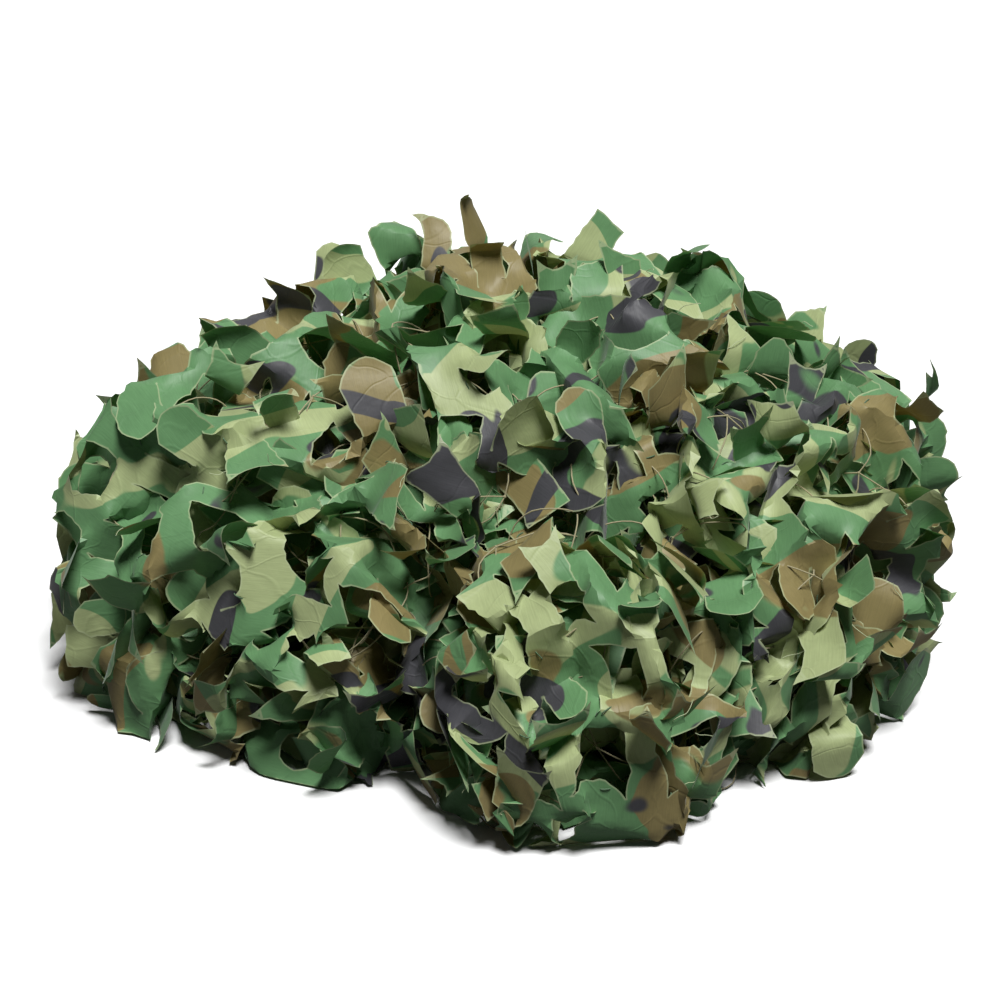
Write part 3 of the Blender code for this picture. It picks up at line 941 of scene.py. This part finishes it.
def plain_thread(name, hex_value, roughness, strand_mm):
    """Undyed or spun-dyed thread: one colour that varies from strand to strand."""
    material = bpy.data.materials.new(name)
    material.use_nodes = True
    tree = material.node_tree
    thread = tree.nodes["Principled BSDF"]
    place = add_node(tree, "ShaderNodeTexCoord")
    strands = add_node(tree, "ShaderNodeTexNoise", {"Vector": place.outputs["Object"]},
                       {"Scale": 1000 / strand_mm, "Detail": 2.0})
    shade = add_node(tree, "ShaderNodeMapRange", {"Value": strands.outputs["Fac"]},
                     {"To Min": 0.7, "To Max": 1.2})
    base = add_node(tree, "ShaderNodeVectorMath", {"Scale": shade.outputs[0]},
                    {0: colour(hex_value)[:3]}, operation="SCALE")
    tree.links.new(base.outputs[0], thread.inputs["Base Color"])
    twist = add_node(tree, "ShaderNodeBump", {"Height": strands.outputs["Fac"]},
                     {"Strength": 0.5, "Distance": 0.0004})
    tree.links.new(twist.outputs[0], thread.inputs["Normal"])
    thread.inputs["Roughness"].default_value = roughness
    thread.inputs["Sheen Weight"].default_value = 0.2
    return material


printed = printed_polyester()
# The print doesn't reach a thread's core, so what the blade bares is pale: it reads as light hairs.
cut_edge = plain_thread("bare_cut_edge", EDGE_COLOUR, 0.6, 4.0)
# Net cord is twisted from undyed yarn. Its straw colour shows well in the dark between leaves.
net_cord = plain_thread("twisted_net_cord", "#9a9270", 0.7, 1.5)
# Sewing thread is dyed to match the cloth, so that a stitch is seen more by its shade than its hue.
sewing_thread = plain_thread("green_sewing_thread", "#4a6a4a", 0.6, 1.0)
print("materials:", ", ".join(material.name for material in bpy.data.materials))

# %% [markdown]
# ## From points to cloth
#
# A settled sheet becomes a mesh that keeps its flat places as a UV map, in metres, so the print
# and the weave lie on it as they did before it was crumpled. The cloth is some 0.2 mm thick, less
# than can be seen from a step away, so a sheet is a single layer. What shows that it is thin and
# stiff is its crisp creases: edges that turn by more than `SHARP_CREASE` degrees are shaded sharp.

# %% Making a sheet's mesh
SHARP_CREASE = 27


def sheet_object(name, cloth, points):
    """A sheet as a mesh object, with its flat places as UVs."""
    mesh = bpy.data.meshes.new(name)
    mesh.from_pydata(points.tolist(), [], cloth["triangles"].tolist())
    uv = mesh.uv_layers.new(name="flat")
    corners = np.empty(len(mesh.loops), np.int32)
    mesh.loops.foreach_get("vertex_index", corners)
    uv.data.foreach_set("uv", cloth["flat"][corners].astype(np.float32).ravel())
    to_cut = mesh.attributes.new("to_cut", "FLOAT", "POINT")
    to_cut.data.foreach_set("value", cloth["to_cut"].astype(np.float32))
    mesh.shade_smooth()
    mesh.set_sharp_from_angle(angle=math.radians(SHARP_CREASE))
    mesh.materials.append(printed)
    piece = bpy.data.objects.new(name, mesh)
    scene.collection.objects.link(piece)
    return piece


sheets = []
for (name, *_), cloth in zip(PLIES, cloths):
    low, high = cloth["range"]
    sheets.append(sheet_object("printed_" + name, cloth, settled[low:high]))
print("sheets made:", ", ".join(piece.name for piece in sheets))

# %% [markdown]
# ## Cords, stitches and frayed threads
#
# The net follows a path that the settling has found, so Geometry Nodes make it: the lattice's
# edges become curves, a round profile is swept along them, and a small knot sits where cords
# cross. The same tree also makes the stitches that tie the cloth to the net, and the threads that
# work loose along a cut, because each of them is a thin round strand on a path too. The tree has
# named inputs for its sizes and its material, and ends in a real mesh.

# %% A tree that turns paths into strands
def strand_tree():
    tree = bpy.data.node_groups.new("knotted_strands", "GeometryNodeTree")
    for name, kind in (("Paths", "Geometry"), ("Strand Radius", "Float"), ("Knot Radius", "Float"),
                       ("Material", "Material")):
        tree.interface.new_socket(name, in_out="INPUT", socket_type="NodeSocket" + kind)
    tree.interface.new_socket("Strands", in_out="OUTPUT", socket_type="NodeSocketGeometry")
    given = add_node(tree, "NodeGroupInput").outputs
    curves = add_node(tree, "GeometryNodeMeshToCurve", {"Mesh": given["Paths"]})
    smooth = add_node(tree, "GeometryNodeCurveSplineType", {"Curve": curves.outputs[0]},
                      spline_type="CATMULL_ROM")
    finer = add_node(tree, "GeometryNodeSetSplineResolution", {"Geometry": smooth.outputs[0]},
                     {"Resolution": 3})
    profile = add_node(tree, "GeometryNodeCurvePrimitiveCircle",
                       {"Radius": given["Strand Radius"]}, {"Resolution": 5})
    strands = add_node(tree, "GeometryNodeCurveToMesh",
                       {"Curve": finer.outputs[0], "Profile Curve": profile.outputs["Curve"]},
                       {"Fill Caps": True})
    is_knot = add_node(tree, "GeometryNodeInputNamedAttribute", {}, {"Name": "knot"},
                       data_type="BOOLEAN")
    knot = add_node(tree, "GeometryNodeMeshIcoSphere", {"Radius": given["Knot Radius"]},
                    {"Subdivisions": 1})
    knots = add_node(tree, "GeometryNodeInstanceOnPoints",
                     {"Points": given["Paths"], "Instance": knot.outputs["Mesh"],
                      "Selection": is_knot.outputs["Attribute"]})
    joined = add_node(tree, "GeometryNodeJoinGeometry", {"Geometry": strands.outputs[0]})
    tree.links.new(knots.outputs[0], joined.inputs[0])
    real = add_node(tree, "GeometryNodeRealizeInstances", {"Geometry": joined.outputs[0]})
    painted = add_node(tree, "GeometryNodeSetMaterial",
                       {"Geometry": real.outputs[0], "Material": given["Material"]})
    add_node(tree, "NodeGroupOutput", {"Strands": painted.outputs[0]})
    return tree


knotted_strands = strand_tree()


def made_real(piece, name):
    """The result of a piece's modifiers as a plain mesh object."""
    bpy.context.view_layer.update()
    graph = bpy.context.evaluated_depsgraph_get()
    mesh = bpy.data.meshes.new_from_object(piece.evaluated_get(graph))
    bpy.data.objects.remove(piece)
    result = bpy.data.objects.new(name, mesh)
    scene.collection.objects.link(result)
    mesh.name = name
    return result


def strands_along(name, points, edges, knots, strand_radius, knot_radius, material):
    """A piece made of round strands along the edges, with knots at some of the points."""
    paths = bpy.data.meshes.new(name + "_paths")
    paths.from_pydata(np.asarray(points).tolist(), [], [])
    paths.edges.add(len(edges))
    paths.edges.foreach_set("vertices", np.asarray(edges, np.int32).ravel())
    flags = np.zeros(len(points), bool)
    flags[knots] = True
    paths.attributes.new("knot", "BOOLEAN", "POINT").data.foreach_set("value", flags)
    piece = bpy.data.objects.new(name + "_paths", paths)
    scene.collection.objects.link(piece)
    maker = piece.modifiers.new("knotted_strands", "NODES")
    maker.node_group = knotted_strands
    sizes = {"Strand Radius": strand_radius, "Knot Radius": knot_radius, "Material": material}
    for socket in knotted_strands.interface.items_tree:
        if socket.name in sizes:
            maker[socket.identifier] = sizes[socket.name]
    piece = made_real(piece, name)
    print(f"{name}: {len(piece.data.polygons)} faces")
    return piece


CORD_RADIUS, KNOT_RADIUS = 0.0005, 0.0011
net = strands_along("knotted_net", settled[firsts[-2]:], net_pairs, net_knots,
                    CORD_RADIUS, KNOT_RADIUS, net_cord)

# %% [markdown]
# A stitch dips through the cloth on both sides of a cord, so from outside it is a short bar of
# thread. A loose thread leaves the cut edge in the plane of the cloth and then curls. Both are
# placed on the settled outer sheet: they take their directions from its normals and neighbours.

# %% Stitches and loose threads on the outer sheet
STITCH_LENGTH = 0.0075
STITCH_RADIUS = 0.0004
STITCH_PATH = (
    # share of its length from the middle, height over the cloth in mm
    (-0.5, -1.2), (-0.35, 0.3), (0, 0.7), (0.35, 0.3), (0.5, -1.2),
)
LOOSE_THREADS = 110
LOOSE_THREAD_RADIUS = 0.00022
THREAD_STEPS = 6
THREAD_CURL = 0.30

random = np.random.default_rng(58)
outer = cloths[0]
low, high = outer["range"]
on_sheet = settled[low:high]
normals = np.empty(len(sheets[0].data.vertices) * 3)
sheets[0].data.vertices.foreach_get("normal", normals)
normals = normals.reshape(-1, 3)
neighbour = np.zeros(len(on_sheet), int)
neighbour[outer["pairs"][:, 0]] = outer["pairs"][:, 1]
neighbour[outer["pairs"][:, 1]] = outer["pairs"][:, 0]


def chains(count, length):
    """The edges of that many separate paths, each of that many points."""
    start = np.arange(count)[:, None] * length + np.arange(length - 1)
    return np.stack((start, start + 1), -1).reshape(-1, 2)


sewn = outer["sewn"]
along = unit(on_sheet[neighbour[sewn]] - on_sheet[sewn])
reach_out, height = np.array(STITCH_PATH).T[..., None]
bars = (on_sheet[sewn][:, None] + along[:, None] * reach_out * STITCH_LENGTH
        + normals[sewn][:, None] * height / 1000)
stitching = strands_along("sewing_stitches", bars.reshape(-1, 3),
                          chains(len(sewn), len(STITCH_PATH)), [],
                          STITCH_RADIUS, 0.0, sewing_thread)

on_edge = np.flatnonzero(outer["on_cut"] & (outer["leaf"] >= 0))
roots = random.choice(on_edge, LOOSE_THREADS, replace=False)
heading = on_sheet[roots] - on_sheet[neighbour[roots]] + random.normal(0, 0.003, (len(roots), 3))
steps = random.uniform(0.0012, 0.0042, len(roots))[:, None]
paths = [on_sheet[roots]]
for _ in range(THREAD_STEPS - 1):
    heading = unit(heading) + random.normal(0, THREAD_CURL, heading.shape)
    paths.append(paths[-1] + unit(heading) * steps)
paths = np.stack(paths, 1)
paths[..., 2] = np.maximum(paths[..., 2], 0.001)
fray = strands_along("frayed_threads", paths.reshape(-1, 3), chains(len(roots), THREAD_STEPS), [],
                     LOOSE_THREAD_RADIUS, 0.0, cut_edge)

# %% [markdown]
# ## The pieces on the root body
#
# Every piece rides on the root body, and the CAD parts that the cloth and the net stand in for are
# hidden.

# %% The pieces on the root body, and the hidden CAD parts
for piece in sheets + [net, stitching, fray]:
    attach(piece, "root")
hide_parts("leaf_cloth")
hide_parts("inner_folds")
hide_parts("mesh_net")

# %% [markdown]
# ## A plain studio
#
# One large softbox stands above the camera and to its right. It is set steep, so that each leaf
# shades the gap under it, which is what makes netting look deep. A weak light from behind makes
# the outermost leaves glow. A faint one from the left and the room itself give hardly any. The
# floor is seen as pale, but it counts as darker where light bounces off it, so that it doesn't
# fill the gaps with light.

# %% Floor, backdrop, lights and camera
def stage_mesh(name, corners, seen_hex, bounced_hex):
    """A flat piece of the stage: one colour for the camera, another for light that bounces."""
    mesh = bpy.data.meshes.new(name)
    mesh.from_pydata(corners, [], [(0, 1, 2, 3)])
    piece = bpy.data.objects.new(name, mesh)
    scene.collection.objects.link(piece)
    material = bpy.data.materials.new(name)
    material.use_nodes = True
    paint = material.node_tree.nodes["Principled BSDF"]
    paint.inputs["Roughness"].default_value = 0.9
    seen = add_node(material.node_tree, "ShaderNodeLightPath")
    shown = add_node(material.node_tree, "ShaderNodeMix", {"Factor": seen.outputs["Is Camera Ray"]},
                     {6: colour(bounced_hex), 7: colour(seen_hex)}, data_type="RGBA")
    material.node_tree.links.new(shown.outputs[2], paint.inputs["Base Color"])
    mesh.materials.append(material)
    return piece


stage_mesh("floor", [(-6, -6, 0), (6, -6, 0), (6, 6, 0), (-6, 6, 0)], "#f6f6f6", "#606060")

ROOM_LIGHT = 0.008
world = bpy.data.worlds.new("studio")
scene.world = world
world.use_nodes = True
sky = world.node_tree
sky.nodes.clear()
seen = add_node(sky, "ShaderNodeLightPath")
strength = add_node(sky, "ShaderNodeMix", {"Factor": seen.outputs["Is Camera Ray"]},
                    {2: ROOM_LIGHT, 3: 1.0}, data_type="FLOAT")
light_of_room = add_node(sky, "ShaderNodeBackground", {"Strength": strength.outputs[0]},
                         {"Color": (1, 1, 1, 1)})
add_node(sky, "ShaderNodeOutputWorld", {"Surface": light_of_room.outputs[0]})


def soft_sun(name, bearing, height, spread, power):
    """Light of one strength everywhere, as from a large softbox: bearing and height in degrees."""
    lamp = bpy.data.lights.new(name, "SUN")
    lamp.energy = power
    lamp.angle = math.radians(spread)
    light = bpy.data.objects.new(name, lamp)
    light.rotation_euler = (math.radians(90 - height), 0, math.radians(bearing))
    scene.collection.objects.link(light)


soft_sun("softbox_over_the_camera", 24, 69, 20, 4.6)
soft_sun("fill_from_the_left", -60, 32, 50, 0.04)
soft_sun("lit_backdrop", 180, 28, 60, 0.45)

ELEVATION = math.radians(24)
AIM = Vector((0.0, 0.058, 0.105))
CAMERA_DISTANCE = 2.0
LENS_MM, SENSOR_MM = 107.46, 36
camera_data = bpy.data.cameras.new("camera")
camera = bpy.data.objects.new("camera", camera_data)
scene.collection.objects.link(camera)
looking = Vector((0, math.cos(ELEVATION), -math.sin(ELEVATION)))
camera.location = AIM - CAMERA_DISTANCE * looking
camera.rotation_euler = looking.to_track_quat("-Z", "Y").to_euler()
camera_data.lens = LENS_MM
camera_data.sensor_width = SENSOR_MM
scene.camera = camera
scene.view_settings.view_transform = "Standard"
print("stage ready")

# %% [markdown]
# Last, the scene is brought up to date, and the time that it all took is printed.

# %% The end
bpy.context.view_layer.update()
print(f"{time.time() - started:.1f} s in all")
